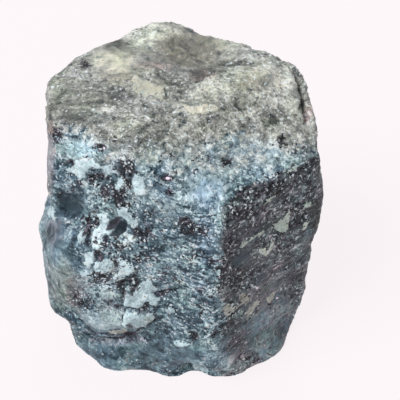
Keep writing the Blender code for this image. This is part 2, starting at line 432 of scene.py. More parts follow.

# %% [markdown]
# ## Dark grains, and painted shadow under the ledge
#
# Black mica and iron ore sit in the crystal in clumps. The larger clumps are traced in the same way as
# the chips. The two shapes under the ledge are no grains but painted shadow below it. The many small
# flecks around them are left to chance further on, because no one could trace them all.

# %% Dark grains
DARK_GRAINS_AND_LEDGE_SHADOW = {
    "upper band": ((85, 180), (92, 175), (100, 174), (105, 173), (104, 178), (98, 181), (90, 180)),
    "column": ((126, 181), (130, 180), (132, 186), (129, 190), (126, 187)),
    "near the column": ((101, 186), (108, 189), (109, 196), (104, 200), (100, 196)),
    "below the column": ((113, 190), (118, 196), (123, 188), (124, 196), (120, 207), (114, 200)),
    "upper mass": ((119, 163), (127, 166), (133, 172), (131, 180), (126, 175), (120, 172)),
    "left pit": ((70, 186), (74, 185), (76, 189), (73, 192)),
    "far left": ((57, 194), (62, 192), (65, 196), (60, 199)),
    "high left": ((67, 162), (72, 160), (74, 165), (69, 166)),
    "between the whites": ((84, 230), (90, 226), (92, 233), (88, 240), (85, 236)),
    "under the whites": ((84, 241), (90, 241), (89, 249), (85, 246)),
    "under the eye": ((101, 238), (106, 236), (109, 240), (104, 244)),
    "mid left": ((95, 249), (101, 252), (106, 255), (103, 261), (97, 259)),
    "mid right": ((112, 258), (117, 259), (119, 264), (115, 266)),
    "long column": ((115, 282), (124, 281), (125, 290), (124, 300), (121, 301), (120, 290)),
    "chain": ((124, 280), (134, 276), (136, 280), (128, 284)),
    "by the tooth": ((131, 287), (140, 281), (137, 288), (134, 296), (131, 293)),
    "low left": ((107, 300), (114, 298), (113, 303), (108, 303)),
    "low mid": ((113, 304), (121, 305), (121, 310), (115, 309)),
    "tooth gap": ((138, 310), (144, 306), (147, 301), (150, 304), (147, 311), (141, 313)),
    "purple patch": ((131, 228), (140, 230), (148, 235), (147, 241), (140, 239), (134, 237)),
    "dark spot": ((180, 219), (187, 217), (192, 222), (194, 231), (188, 228), (183, 234), (180, 226)),
    "small dark": ((164, 192), (171, 190), (175, 194), (170, 197)),
    "glint edge": ((157, 176), (166, 175), (176, 177), (168, 182)),
    "front notch": ((154, 293), (162, 291), (176, 289), (170, 293), (160, 296)),
    "low cross": ((189, 332), (197, 333), (199, 339), (193, 343), (190, 338)),
    "small low": ((197, 290), (203, 290), (203, 294), (199, 293)),
    "toe": ((210, 337), (215, 330), (221, 334), (214, 339)),
    # painted shadow below the ledge, not grains
    "left under the ledge": ((84, 331), (92, 332), (100, 335), (107, 338), (104, 341), (96, 338), (88, 334)),
    "right under the ledge": ((126, 334), (131, 332), (137, 334), (134, 342), (128, 343), (125, 339)),
    "ledge notch": ((128, 322), (132, 321), (134, 327), (129, 327)),
    "high on the left": ((93, 146), (101, 146), (105, 150), (103, 153), (96, 149)),
    "left edge": ((52, 125), (57, 129), (61, 135), (57, 138), (53, 133)),
    "back left of the top": ((81, 62), (87, 61), (91, 64), (87, 67), (82, 66)),
    "brow": ((222, 160), (227, 157), (230, 162), (225, 167)),
    "shoulder": ((278, 138), (284, 134), (285, 142), (281, 146)),
}
print(len(DARK_GRAINS_AND_LEDGE_SHADOW), "dark grains")

# %% [markdown]
# ## Stains and smooth patches
#
# Three kinds of mark are neither chip nor grain: bare slate-blue windows into the stone, one half of
# the dark eye that is more brown than blue, and tan stains left by iron in water. The slate patch in the
# hollow between the body and the lump is partly slate colour and partly painted shade of that hollow.
# They are kept apart because each gets its own colour.

# %% Stains and smooth patches
SLATE_AND_HOLLOW_SHADE_PATCHES = {
    "slate half of the eye": (
        (109, 236), (114, 230), (119, 222), (124, 222), (127, 226), (127, 231), (120, 236)),
    # partly slate colour, partly painted shade of the hollow between the body and the lump
    "slate hollow": (
        (58, 196), (64, 193), (71, 196), (77, 203), (82, 212), (76, 215), (66, 213), (60, 206)),
    "smooth slate": ((231, 262), (237, 256), (250, 253), (252, 258), (244, 266), (234, 268)),
}
PLUM_PATCHES = {
    "brown half of the eye": ((106, 230), (110, 221), (116, 217), (121, 220), (118, 225), (112, 231)),
}
TAN_STAINS = {
    "tan patch": ((223, 306), (231, 303), (239, 306), (234, 313), (227, 317), (223, 313)),
    "ochre under the ledge": ((107, 331), (118, 329), (128, 329), (127, 335), (118, 338), (109, 337)),
    "tan streak": ((238, 299), (244, 292), (249, 297), (246, 304), (240, 306)),
    "thin tan": ((245, 317), (250, 308), (258, 300), (260, 303), (253, 312), (247, 318)),
    "far tan": ((266, 300), (271, 294), (276, 292), (274, 299), (269, 303)),
}
print(len(SLATE_AND_HOLLOW_SHADE_PATCHES) + len(PLUM_PATCHES), "smooth patches,", len(TAN_STAINS), "tan stains")

# %% [markdown]
# ## Cracks
#
# Cracks are thin, so they are drawn as open lines and not as outlines. Two of the lines are no cracks but
# painted shadow: under the step on the top and under the ledge. The same distance test works on a line
# that runs there and back.

# %% Cracks, and dark lines of painted shadow
CRACKS_AND_SHADOW_LINES = {
    "through the low chip": ((122, 321), (124, 313), (126, 309), (131, 308), (138, 311)),
    # painted shadow under the ledge, not a crack
    "under the ledge": (
        (74, 327), (90, 332), (100, 336), (108, 340), (122, 341), (130, 338), (138, 331), (155, 320)),
    "level line": ((190, 326), (197, 323), (204, 323)),
    "long level line": ((207, 286), (215, 284), (223, 284)),
    "short level line": ((202, 218), (209, 217), (216, 215)),
    "below the tooth": ((154, 293), (166, 292), (178, 289)),
    # painted shadow under the step, not a crack
    "step on the top": ((196, 82), (210, 76), (228, 70), (246, 66), (262, 62)),
}
CRACK_AND_SHADOW_WIDTH = 0.30
print(len(CRACKS_AND_SHADOW_LINES), "cracks")

# %% [markdown]
# ## Broad tones
#
# Between the marks the stone is never one colour. Soft ovals push it lighter or darker, warmer or cooler,
# and towards rose or lavender, where the real one is. Some of the darker ovals are painted shade and not
# tone: under and behind the step on the top, in the slate hollow, at the foot below the ledge and by the
# toe. An oval is its middle across and down, its two half widths, all in pixels, and its strength. Other
# ovals say where the texture flows or stands upright, where the ground is bleached, where it is calm, and
# where a single facet flashes.

# %% Lighter and darker zones, some of them painted shade
LIGHT_ZONES = {
    "pale upper left of the top": (110, 62, 28, 18, 0.45),
    "pale back of the top": (138, 45, 18, 10, 0.3),
    "smooth hollow": (188, 52, 40, 22, -0.20),
    # painted shadow under the step on the top
    "under the step": (236, 64, 26, 6, -0.75),
    "plateau": (264, 78, 22, 12, 0.26),
    "green band": (108, 266, 15, 8, -0.28),
    "grey patch": (125, 270, 11, 11, -0.2),
    "plum stain": (118, 342, 30, 5, 0.6),
    "left strip": (49, 160, 6, 50, -0.3),
    "olive notch": (118, 44, 14, 6, -0.5),
    "right of the plateau": (256, 99, 28, 9, -0.24),
    "behind the left": (84, 66, 16, 6, -0.35),
    "pale lip": (287, 79, 7, 17, 1.0),
    # painted shade in the low ground behind the step
    "brown by the step": (205, 74, 22, 9, -0.75),
    "upper end strip": (301, 86, 4, 13, -0.2),
    "right shoulder": (284, 138, 30, 14, 0.5),
    "right of the hollow": (262, 150, 34, 12, 0.25),
    "behind the right end": (262, 57, 20, 4, 0.25),
    "front of the plateau": (208, 92, 30, 10, 0.34),
    "pale band": (196, 108, 32, 8, 0.45),
    "pale spot": (250, 115, 18, 8, 0.3),
    "grey hollow": (240, 136, 28, 14, 0.22),
    "right of the spot": (274, 117, 18, 10, -0.42),
    "left of the top": (85, 98, 34, 12, -0.12),
    "flake": (149, 88, 15, 9, -0.10),
    "white line": (108, 108, 10, 3, 1.1),
    "front left of the top": (90, 118, 34, 8, -0.22),
    "front of the flake": (150, 116, 22, 10, -0.2),
    "cyan brow left": (80, 150, 30, 12, 0.72),
    "cyan brow": (205, 184, 30, 28, 0.18),
    "pale brow": (165, 160, 34, 10, 0.35),
    "cyan shoulder": (270, 158, 36, 13, 0.30),
    "green lens": (103, 160, 7, 4, -0.15),
    "green middle": (168, 206, 20, 12, -0.12),
    "dark middle": (158, 245, 24, 14, -0.28),
    # painted shade in the hollow between the body and the lump
    "slate hollow": (72, 205, 18, 13, -0.55),
    "below the hollow": (70, 222, 14, 9, -0.22),
    "white field": (105, 232, 24, 20, -0.05),
    "left of the flake": (122, 97, 16, 9, -0.5),
    "right of the flake": (182, 92, 12, 9, -0.35),
    "back of the top": (150, 38, 44, 12, 0.10),
    "right face high": (258, 200, 40, 26, 0.10),
    "above the flake": (172, 80, 16, 7, -0.3),
    "mottled field": (108, 284, 20, 18, -0.05),
    "low field": (104, 314, 24, 14, -0.08),
    "dark left": (84, 296, 14, 14, -0.25),
    "slate lines": (205, 278, 16, 8, -0.2),
    "below the toothed chip": (165, 288, 20, 6, -0.3),
    "toe shadow": (212, 371, 12, 4, -0.5),
    "toe": (234, 362, 20, 12, 0.75),
    # painted shade at the foot, below the ledge
    "foot": (140, 350, 70, 24, -0.3),
    "left of the foot": (112, 356, 32, 10, -0.25),
    "front low": (185, 310, 34, 30, -0.3),
    "right face low": (266, 306, 34, 40, 0.34),
    "far low right": (278, 338, 18, 20, -0.45),
    "left of the top shade": (80, 100, 40, 24, -0.25),
    "knob": (54, 235, 12, 16, -0.62),
    "right face rim": (314, 225, 9, 36, -0.6),
    "right edge of the top": (308, 130, 12, 24, 0.30),
    "lump side": (62, 285, 20, 34, -0.25),
    "brown of the lump": (76, 294, 13, 26, -0.35),
    "blade": (127, 217, 12, 11, -0.3),
    "lowest chip": (140, 319, 18, 8, -0.28),
    "whites": (97, 236, 9, 14, 0.25),
    "middle of the brow": (165, 160, 44, 12, 0.2),
}
WARM_ZONES = {
    "cream top": (115, 62, 32, 22, 0.65),
    "olive hollow": (190, 48, 48, 26, 0.9),
    "olive plateau": (255, 84, 40, 20, 0.6),
    "middle": (200, 96, 30, 14, 0.4),
    "flake": (150, 88, 22, 14, 0.6),
    "warm left": (115, 78, 24, 10, 0.5),
    "cool brow left": (82, 150, 34, 12, -0.6),
    "cool brow": (205, 190, 26, 26, -0.5),
    "cool end of the top": (180, 148, 140, 14, -0.5),
    "low right": (272, 318, 38, 46, -0.2),
    "lump left": (64, 290, 24, 40, 0.8),
    "ledge": (112, 322, 46, 12, 0.45),
    "left strip": (49, 160, 8, 50, 0.6),
    "knob": (54, 232, 13, 20, 0.5),
    "cool front of the top": (100, 118, 46, 12, -0.4),
    "cream end of the low chip": (150, 318, 8, 6, 0.9),
    "cool right of the top": (262, 130, 40, 22, -0.3),
}
ROSY_ZONES = {
    "band on the top": (152, 65, 28, 7, 0.7),
    "by the step": (204, 75, 20, 9, 0.8),
    "right strip": (308, 112, 5, 16, 0.9),
    "garnet specks": (242, 215, 18, 12, 0.6),
    "middle of the right face": (264, 280, 36, 24, 0.5),
    "toe": (236, 352, 20, 20, 0.8),
    "left strip": (49, 160, 8, 52, 1.2),
    "knob": (54, 232, 13, 20, 0.9),
    "under the ledge": (118, 340, 36, 6, 1.8),
    "brown of the lump": (76, 292, 14, 28, 0.7),
}

FLOWING = {"left of the top": (88, 100, 48, 26, 1.0), "front of the top": (140, 128, 50, 16, 0.6)}
UPRIGHT = {
    "lump left": (64, 280, 18, 40, 1.0), "lump": (86, 300, 14, 30, 0.5), "left strip": (49, 160, 6, 46, 0.8),
}
LAVENDER = {
    "shoulder": (208, 196, 20, 24, 0.8), "lines": (206, 250, 16, 50, 0.9), "low": (196, 300, 20, 20, 0.3),
}
PALE_GROUND = {
    "brow left": (84, 150, 42, 20, 1.1), "brow middle": (150, 156, 60, 16, 1.0),
    "blue shoulder": (202, 180, 40, 40, 0.85), "shoulder": (275, 150, 50, 22, 1.1),
    "shoulder left": (236, 150, 36, 28, 1.1), "five sided": (140, 190, 18, 18, 0.7),
    "eye field": (105, 235, 30, 28, 0.15), "lump field": (104, 290, 30, 30, 0.6),
    "lump left": (66, 290, 24, 42, 0.8), "ledge": (118, 318, 46, 15, 0.9),
    "left strip": (49, 160, 7, 50, 1.0), "below": (150, 300, 16, 22, 0.4),
    "right end": (305, 130, 20, 30, 0.8), "green middle": (165, 206, 22, 14, 0.5),
}
CALM_ZONES = {
    "hollow of the top": (190, 50, 50, 26, 1.0), "cream patches": (118, 60, 42, 24, 1.0),
    "flake": (150, 88, 22, 14, 0.9), "left of the top": (80, 100, 38, 22, 0.6),
    "plateau": (262, 80, 30, 16, 0.5), "knob": (54, 228, 14, 24, 1.0),
    "slate hollow": (72, 206, 17, 14, 1.0), "smooth slate": (242, 261, 14, 9, 0.7),
    "lump left": (58, 272, 22, 50, 0.9), "ledge": (112, 322, 46, 12, 0.6),
    "foot": (112, 352, 56, 20, 0.9), "front foot": (180, 354, 44, 20, 0.8),
    "right low": (272, 322, 40, 46, 0.8), "left strip": (49, 160, 6, 48, 0.8),
    "green middle": (165, 206, 18, 12, 0.5), "right rim": (310, 240, 12, 56, 0.6),
    "right middle": (245, 240, 14, 26, 0.4), "blue shoulder": (205, 190, 26, 28, 0.5),
    "middle right": (275, 275, 26, 22, 0.5), "toe": (234, 350, 20, 24, 0.4),
}

GLINTS = {
    "purple": (168, 178, 4, 3, 1.0), "high left": (103, 149, 2, 3, 1.0), "high": (193, 170, 2, 2, 1.0),
    "right": (257, 288, 2, 2, 1.0), "far right": (277, 298, 2, 2, 1.0), "left edge": (58, 130, 2, 2, 1.0),
}
print(len(LIGHT_ZONES), "lighter and darker zones")

# %% [markdown]
# ## Where the flecks gather
#
# Small dark flecks come in swarms that thin out at their edges. Each swarm is a soft oval that says how
# likely a fleck is at that place, and the single flecks are then chosen by the chance value of each
# crystal grain in the material.

# %% Clusters of flecks
FLECK_CLUSTERS = {
    "upper": (124, 170, 15, 12, 0.75), "upper band": (98, 180, 18, 7, 0.5),
    "middle": (114, 197, 16, 13, 0.75), "low upper": (127, 205, 10, 5, 0.8),
    "above the whites": (92, 220, 13, 11, 0.65), "whites": (104, 241, 14, 8, 0.55),
    "under": (122, 247, 20, 8, 0.7), "purple": (148, 256, 16, 9, 0.65),
    "purple high": (143, 236, 12, 8, 0.6), "left chain": (98, 275, 9, 12, 0.6),
    "right chain": (124, 262, 22, 9, 0.5), "low chain": (128, 284, 16, 12, 0.6),
    "lump": (84, 300, 13, 14, 0.5), "lump middle": (108, 277, 17, 9, 0.55),
    "centre": (150, 222, 10, 12, 0.4), "spot": (187, 226, 12, 10, 0.7),
    "right of the spot": (200, 230, 12, 6, 0.5), "edge": (222, 266, 12, 16, 0.6),
    "high edge": (229, 246, 7, 13, 0.85), "upper rim": (262, 190, 26, 7, 0.6),
    "past the edge": (234, 277, 16, 16, 0.6), "garnet": (246, 211, 17, 11, 1.0),
    "high right": (279, 184, 8, 16, 1.0), "far right": (300, 214, 12, 16, 0.5),
    "torn": (268, 244, 14, 12, 0.5), "right low": (232, 247, 10, 12, 0.55),
    "centre low": (166, 276, 13, 9, 0.45), "lines": (196, 255, 13, 10, 0.4),
    "low": (205, 310, 14, 9, 0.35), "toe": (228, 326, 14, 14, 0.5), "left edge": (56, 134, 8, 14, 0.6),
    "high left": (99, 148, 8, 5, 0.7), "top edge": (112, 138, 12, 6, 0.45),
    "brow": (166, 158, 12, 8, 0.35), "brow right": (200, 158, 16, 5, 0.5),
    "shoulder edge": (225, 162, 6, 6, 0.7), "shoulder": (283, 141, 6, 10, 0.7),
    "left": (69, 163, 7, 4, 0.6), "left low": (62, 195, 8, 5, 0.5),
    "right rim": (300, 150, 12, 16, 0.35), "spark": (195, 171, 5, 5, 0.6),
}
print(len(FLECK_CLUSTERS), "swarms of flecks")

# %% [markdown]
# ## From drawings to numbers
#
# All drawings are now turned into one number each for every point. The fold under the ledge is the one
# place that is given in millimetres on the stone and not in pixels, because the camera looks past most of
# it. It is dark, since little light gets in.

# %% Measure the points against the drawings
CHIP_FADE = 3.0
FOLD_PLACE = np.array((-9.0, -13.3, 7.1))
FOLD_HALF_SIZE = np.array((4.5, 1.6, 0.7))
FOLD_SHADE = 1.5
pale_depth = drawn_shapes(PALE_CHIPS) - CHIP_FADE * (1.0 - soft_step(sight, 0.0, 0.15))
dark_grain_and_shadow_depth = drawn_shapes(DARK_GRAINS_AND_LEDGE_SHADOW)
tan_depth = drawn_shapes(TAN_STAINS)
slate_and_shade_depth = drawn_shapes(SLATE_AND_HOLLOW_SHADE_PATCHES)
plum_depth = drawn_shapes(PLUM_PATCHES)
crack_and_shadow_nearness = drawn_lines(CRACKS_AND_SHADOW_LINES, CRACK_AND_SHADOW_WIDTH)
lightness = drawn_ovals(LIGHT_ZONES)
fold_reach = np.linalg.norm((places / MM - FOLD_PLACE) / FOLD_HALF_SIZE, axis=1)
lightness -= FOLD_SHADE * (1.0 - soft_step(fold_reach, 0.3, 1.0))
warmth = drawn_ovals(WARM_ZONES)
pale_ground = drawn_ovals(PALE_GROUND)
calm = np.clip(drawn_ovals(CALM_ZONES), 0.0, 1.0)
fleck_density = np.clip(drawn_ovals(FLECK_CLUSTERS), 0.0, 1.0)
print(int(np.sum(pale_depth > 0)), "points in pale chips,", int(np.sum(dark_grain_and_shadow_depth > 0)), "in dark grains")


# %% [markdown]
# ## The sides that the picture doesn't show
#
# The left, the back and the underside carry the same minerals. Their chips and grains are scattered by
# chance, with fixed seeds so that the stone is the same every time, and a little noise makes each blot
# ragged.

# %% Scatter grains over the unseen sides
UNSEEN_BELOW = -0.05
BLOT_WOBBLE = 1.6


def scattered(count, smallest, largest, seed):
    """How far each unseen point lies inside the nearest of many chance blots, in mm."""
    chance = np.random.default_rng(seed)
    unseen = np.flatnonzero(sight < UNSEEN_BELOW)
    middles = places[chance.choice(unseen, count, replace=False)]
    sizes = chance.uniform(smallest, largest, count)
    wobble = np.stack([noise_at(BLOT_WOBBLE, seed + i, 4) for i in range(3)], axis=1) * BLOT_WOBBLE * MM
    wandering = (places + wobble)[unseen]
    depth = np.full(len(unseen), FAR_OUTSIDE)
    for middle, size in zip(middles, sizes):
        depth = np.maximum(depth, size - np.linalg.norm(wandering - middle, axis=1) / MM)
    return unseen, depth


SCATTERED_CHIPS = {"count": 50, "smallest": 0.3, "largest": 1.7, "seed": 11}
SCATTERED_GRAINS = {"count": 45, "smallest": 0.3, "largest": 0.9, "seed": 23}
for layer, blots in ((pale_depth, SCATTERED_CHIPS), (dark_grain_and_shadow_depth, SCATTERED_GRAINS)):
    unseen, depth = scattered(**blots)
    layer[unseen] = np.maximum(layer[unseen], depth)
    print(int(np.sum(depth > 0.0)), "unseen points lie on chance blots")
hidden = 1.0 - limb_fade
fleck_density += hidden * 0.70 * soft_step(noise_at(6.0, 31, 4), 0.10, 0.60)
lightness += hidden * 0.60 * noise_at(8.0, 37, 2)
warmth += hidden * 0.6 * noise_at(10.0, 41, 2)
pale_ground += hidden * 0.9 * soft_step(noise_at(7.0, 61, 3), 0.0, 0.35)
calm += hidden * 0.8 * soft_step(noise_at(8.0, 67, 2), -0.1, 0.3)

# %% [markdown]
# ## Crust, blue body and brown side
#
# The top is crusted olive-grey, and the crust ends just past its edge. Where the picture shows that line
# it is drawn, and on the hidden sides it follows the height of a point and how level the surface is. A
# noise makes the change from the one to the other ragged, so that no border shows there.

# %% Where the crust lies
CRUST_EDGE = (
    (30, 128), (50, 132), (80, 137), (105, 145), (130, 152), (165, 155), (200, 156), (225, 158), (250, 152),
    (280, 150), (300, 152), (315, 152), (330, 150),
)
CRUST_FADE = 22.0
CRUST_FROM = 36.4
CRUST_FULL = 39.8
height = places[:, 2] / MM
edge_wander = 1.1 * noise_at(5.0, 3, 4)
crust_reach = height + edge_wander + 3.0 * noise_at(9.0, 89, 3) + 3.2 * (normals[:, 2] - 0.75)
crust_hidden = soft_step(crust_reach, CRUST_FROM, CRUST_FULL)
crust_line = np.interp(pixels[:, 0], *np.array(CRUST_EDGE, dtype=float).T)
above_line = (crust_line - pixels[:, 1]) / CRUST_FADE + 0.9 * edge_wander
traced = soft_step(sight + 0.3 * noise_at(6.0, 83, 4), -0.35, 0.05)
crust = soft_step(above_line, -1.0, 1.0) * traced + crust_hidden * (1.0 - traced)
store("crust", crust)
print("the crust covers", round(100 * float(crust.mean())), "% of the points")

# %% [markdown]
# ## The darker side
#
# The right side, from the front edge round to the back, is a brownish grey, and it is painted darker as
# well, as painted shade of the side that turns from the lamp. Its border is drawn on the front and
# follows the azimuth of the surface on the hidden sides.

# %% Where the brown side lies
BROWN_AND_SHADED_SIDE = {
    "right face": (
        (219, 216), (226, 206), (238, 196), (250, 188), (262, 181), (275, 173), (290, 165), (306, 156),
        (340, 145), (345, 400), (222, 400), (232, 362), (226, 340), (230, 318), (223, 300), (219, 286),
        (223, 262), (222, 240),
    ),
}
BLUER_PARTS = {"low right": (272, 335, 42, 44, 0.55), "toe": (225, 350, 14, 40, 0.3)}
azimuth = np.degrees(np.arctan2(normals[:, 0], -normals[:, 1])) + 7.0 * noise_at(3.0, 5, 3)
brown_hidden = soft_step(azimuth, 6.0, 20.0) * (1.0 - soft_step(azimuth, 120.0, 165.0))
brown_hidden *= 1.0 - soft_step(normals[:, 2], 0.25, 0.55)
brown_traced = soft_step(drawn_shapes(BROWN_AND_SHADED_SIDE) + 1.2 * edge_wander, -0.8, 0.8)
brown = brown_traced * traced + brown_hidden * (1.0 - traced)
brown *= 1.0 - drawn_ovals(BLUER_PARTS)
store("brown_and_shaded_side", brown)
print("the brown side covers", round(100 * float(brown.mean())), "% of the points")

# %% [markdown]
# ## Where growth lines show
#
# A crystal of corundum grows layer on layer, and the rims of the layers show as fine level lines on
# its upright faces. They are strongest beside the front edge. The lump at the left grew later and has
# none. With this the last number is known, and all of them are kept on the points for the material.

# %% Growth lines, and all numbers kept for the material
LINED_PARTS = {"by the front edge": (200, 250, 26, 56, 0.8), "low": (190, 300, 30, 20, 0.3)}
UNLINED_PARTS = {"lump": (70, 285, 34, 66, 1.2), "ledge": (112, 315, 50, 22, 1.0)}
growth = 1.0 - soft_step(np.abs(normals[:, 2]), 0.35, 0.7)
growth *= 0.35 + 0.65 * soft_step(noise_at(6.0, 7, 2), -0.25, 0.25)
growth = np.clip(growth * 0.45 + drawn_ovals(LINED_PARTS), 0.0, 1.3) * (1.0 - brown * 0.75)
growth *= 1.0 - np.clip(drawn_ovals(UNLINED_PARTS), 0.0, 1.0)
for name, depth in {
    "pale_depth": pale_depth, "dark_grain_and_shadow_depth": dark_grain_and_shadow_depth, "tan_depth": tan_depth,
    "slate_and_shade_depth": slate_and_shade_depth, "plum_depth": plum_depth,
}.items():
    store(name, np.clip(depth, -2.0, 2.0))
for name, values in {
    "growth_lines": growth, "flecks": fleck_density, "light_zone": lightness, "warm_zone": warmth,
    "pale_ground": pale_ground, "calm": calm, "crack_and_shadow_line": crack_and_shadow_nearness,
    "flowing": drawn_ovals(FLOWING), "upright": drawn_ovals(UPRIGHT), "glints": drawn_ovals(GLINTS),
    "lavender": drawn_ovals(LAVENDER), "rosy": drawn_ovals(ROSY_ZONES),
}.items():
    store(name, values)
print(int(np.sum(growth > 0.3)), "points with growth lines")

# %% [markdown]
# ## Relief
#
# Now the surface gets its height, as a sculptor would add and take off clay. The sum of all heights, in
# millimetres along the normal, is called relief. It starts with the facets of broken crystal: a Voronoi
# cell for each, tilted by chance, larger ones first and small ones on them.

# %% Facets like broken crystal
ROUGH_PARTS = {
    "lump": (100, 270, 50, 62, 0.5), "chips": (110, 200, 34, 40, 0.4), "brow": (170, 150, 110, 22, 0.3),
    "low right": (240, 320, 30, 60, 0.35),
}
FACET_SIZES = {1: 2.6, 2: 1.25}
FACET_STEEPNESS = 0.08
CHANCE_MIX = 43.7 * np.array([[12.9, 39.3, 73.1], [78.2, 11.7, 52.3], [37.7, 93.9, 19.4]])


def facets(size, seed):
    """Chance facets of a size in mm, each tilted its own way; the height in mm for each point."""
    shifted = places / (size * MM) + seed * 9.1
    shifted += 0.3 * np.array([noise.noise_vector(Vector(point) * 1.9) for point in shifted])
    middles = np.array([noise.voronoi(Vector(point))[1][0] for point in shifted])
    tilt = np.sin(middles @ CHANCE_MIX)
    return np.sum(tilt * (shifted - middles), axis=1) * size * FACET_STEEPNESS


rough_ground = np.clip(0.45 + 0.55 * crust + drawn_ovals(ROUGH_PARTS), 0.0, 1.0) * (1.0 - 0.6 * calm)
relief = rough_ground * sum(facets(size, seed) for seed, size in FACET_SIZES.items())
print("facets from", round(relief.min(), 2), "to", round(relief.max(), 2), "mm")

# %% [markdown]
# ## Flakes, growth lines and scores
#
# Corundum parts along flat layers, and it grew in thin level layers too. Layers make steps, so the
# height noise is rounded down to whole steps with a short slope between them. The growth lines are
# noise that changes with height alone, and the scores of the right side are noise stretched along one
# slanting direction.

# %% Flakes and growth lines
FLAKE_STEP = 0.17
GROWTH_DEPTH = 0.144
GROWTH_SPACING = 0.42
SCORE_DEPTH = 0.16
SCORE_WIDTH = 0.7
SCORE_LENGTH = 6.0
terraces = noise_at(3.2, 19, 4) * 3.2
relief += FLAKE_STEP * rough_ground * (
    np.floor(terraces) + soft_step(terraces - np.floor(terraces), 0.75, 1.0) - terraces
)
level = (height + 0.9 * noise_at(4.0, 43, 2) + 0.10 * places[:, 0] / MM) / GROWTH_SPACING
level_lines = np.array([noise.noise(Vector((0.0, 0.0, value))) for value in level])
relief += GROWTH_DEPTH * growth * level_lines
out_of_side = facing(40.0)
along_streak = facing(130.0, 9.0)
across_streak = np.cross(out_of_side, along_streak)
score_across = places @ across_streak / MM / SCORE_WIDTH + 1.2 * noise_at(4.0, 47, 2)
score_along = places @ along_streak / MM / SCORE_LENGTH
scores = np.array([noise.noise(Vector((*place, 0.0))) for place in zip(score_across, score_along)])
relief += SCORE_DEPTH * brown * scores
relief += 0.16 * brown * noise_at(3.4, 71, 3, stretch=(2.0, 1.0, 1.3))
print("flakes, lines and scores from", round(relief.min(), 2), "to", round(relief.max(), 2), "mm")

# %% [markdown]
# ## Marks that can be felt
#
# A mark that is only painted looks flat when the light moves. So the chips stand a fifth of a
# millimetre proud, and the dark grains, the flecks and the cracks are sunk.

# %% Chips, grains, flecks and cracks
CHIP_HEIGHT = 0.20
GRAIN_DEPTH = 0.22
FLECK_DEPTH = 0.16
CRACK_DEPTH = 0.26
relief += CHIP_HEIGHT * soft_step(pale_depth, -0.10, 0.12)
relief -= GRAIN_DEPTH * soft_step(dark_grain_and_shadow_depth, -0.12, 0.15)
relief -= FLECK_DEPTH * fleck_density * soft_step(noise_at(0.8, 53, 2), 0.0, 0.25)
relief -= CRACK_DEPTH * crack_and_shadow_nearness
print("with marks from", round(relief.min(), 2), "to", round(relief.max(), 2), "mm")

# %% [markdown]
# ## The large forms
#
# A few forms can be told from a step away: the thick flake on the top, the step that ends the raised
# part of the top, the groove behind its right end, the eye, and the hollows and swells between them.
# The plain solid only hints at them. Cutting them by hand in sculpt mode would work as well, but here
# each keeps its name and its depth and can be changed later.

# %% Flake, step, groove, eye and swells
TOP_FLAKE_HEIGHT = 0.42
PLATEAU_HEIGHT = 0.55
GROOVE_DEPTH = 0.9
GROOVE_WIDTH = 0.55
EYE_DEPTH = 0.35
SWELLS = {
    "slate hollow": (71, 206, 13, 13, -0.55), "knob": (52, 230, 11, 18, 0.25),
    "above the eye": (108, 205, 30, 8, 0.2), "ledge rim": (112, 321, 42, 9, 0.40),
    "under the ledge": (112, 338, 44, 6, -0.5), "top hollow": (190, 50, 44, 22, -0.35),
    "behind the flake": (168, 74, 20, 7, -0.3), "front edge": (222, 250, 8, 70, 0.25),
    "lump": (100, 285, 30, 30, 0.3), "toe": (216, 378, 34, 9, -1.1), "foot": (112, 366, 20, 8, 0.6),
}
PLATEAU = {
    "right of the step": (
        (204, 80), (228, 71), (247, 67), (264, 62), (276, 62), (286, 68), (294, 84), (299, 98), (296, 112),
        (270, 106), (240, 104), (216, 98), (203, 90),
    ),
}
GROOVE = {"behind the right end": ((286, 65), (290, 70), (295, 79), (299, 93), (303, 106), (306, 118))}
EYE = {"eye": ((108, 230), (112, 220), (120, 217), (128, 223), (128, 232), (118, 237), (110, 235))}
top_flake_depth = drawn_shapes({"flake": PALE_CHIPS["flake on the top"]})
relief += TOP_FLAKE_HEIGHT * soft_step(top_flake_depth, -0.15, 0.15)
plateau_depth = drawn_shapes(PLATEAU)
plateau_rim = soft_step(plateau_depth, -0.25, 0.2) * (1.0 - soft_step(plateau_depth, 1.0, 4.5))
relief += PLATEAU_HEIGHT * plateau_rim
relief -= GROOVE_DEPTH * drawn_lines(GROOVE, GROOVE_WIDTH)
relief -= EYE_DEPTH * soft_step(drawn_shapes(EYE), -0.1, 0.5)
relief += drawn_ovals(SWELLS)
print("with large forms from", round(relief.min(), 2), "to", round(relief.max(), 2), "mm")

# %% [markdown]
# ## The outline
#
# Where the plain solid's outline and the real one differ, a soft dent or swell brings them together. Most
# are well under a millimetre. Three at the foot are deeper, most of all the one left of the toe. Each has
# its place on the stone and its radius in millimetres, and how far it pushes the surface out.

# %% Dents and swells along the outline
DENTS = {
    "corner of the shoulder": ((19.7, -5.5, 35.5), 4.5, -0.75),
    "low left of the lump": ((-15.6, -12.1, 8.4), 5.0, -1.8),
    "below the knob": ((-18.0, -9.0, 20.4), 3.5, -0.6),
    "top of the knob": ((-19.0, -3.6, 20.4), 3.5, 0.5),
    "right edge": ((19.3, -7.7, 27.4), 7.0, 0.5),
    "notch low right": ((18.1, -8.1, 4.4), 4.2, -1.3),
    "right foot": ((15.0, -10.8, 0.95), 5.5, 0.8),
    "left of the toe": ((3.4, -16.6, 1.5), 4.8, -2.9),
    "toe": ((6.6, -16.5, 1.0), 3.0, -0.6),
    "right of the toe": ((9.8, -14.8, 0.8), 2.5, 0.5),
    "back edge": ((7.0, 13.0, 40.8), 4.5, 0.4),
    "back corner": ((-2.3, 15.0, 42.2), 5.0, 0.4),
    "left of the back corner": ((-5.0, 13.0, 42.4), 4.5, 0.55),
    "back left notch": ((-15.6, 3.3, 41.6), 3.0, -0.5),
    "end of the top": ((17.6, 0.5, 39.0), 3.0, 0.3),
}
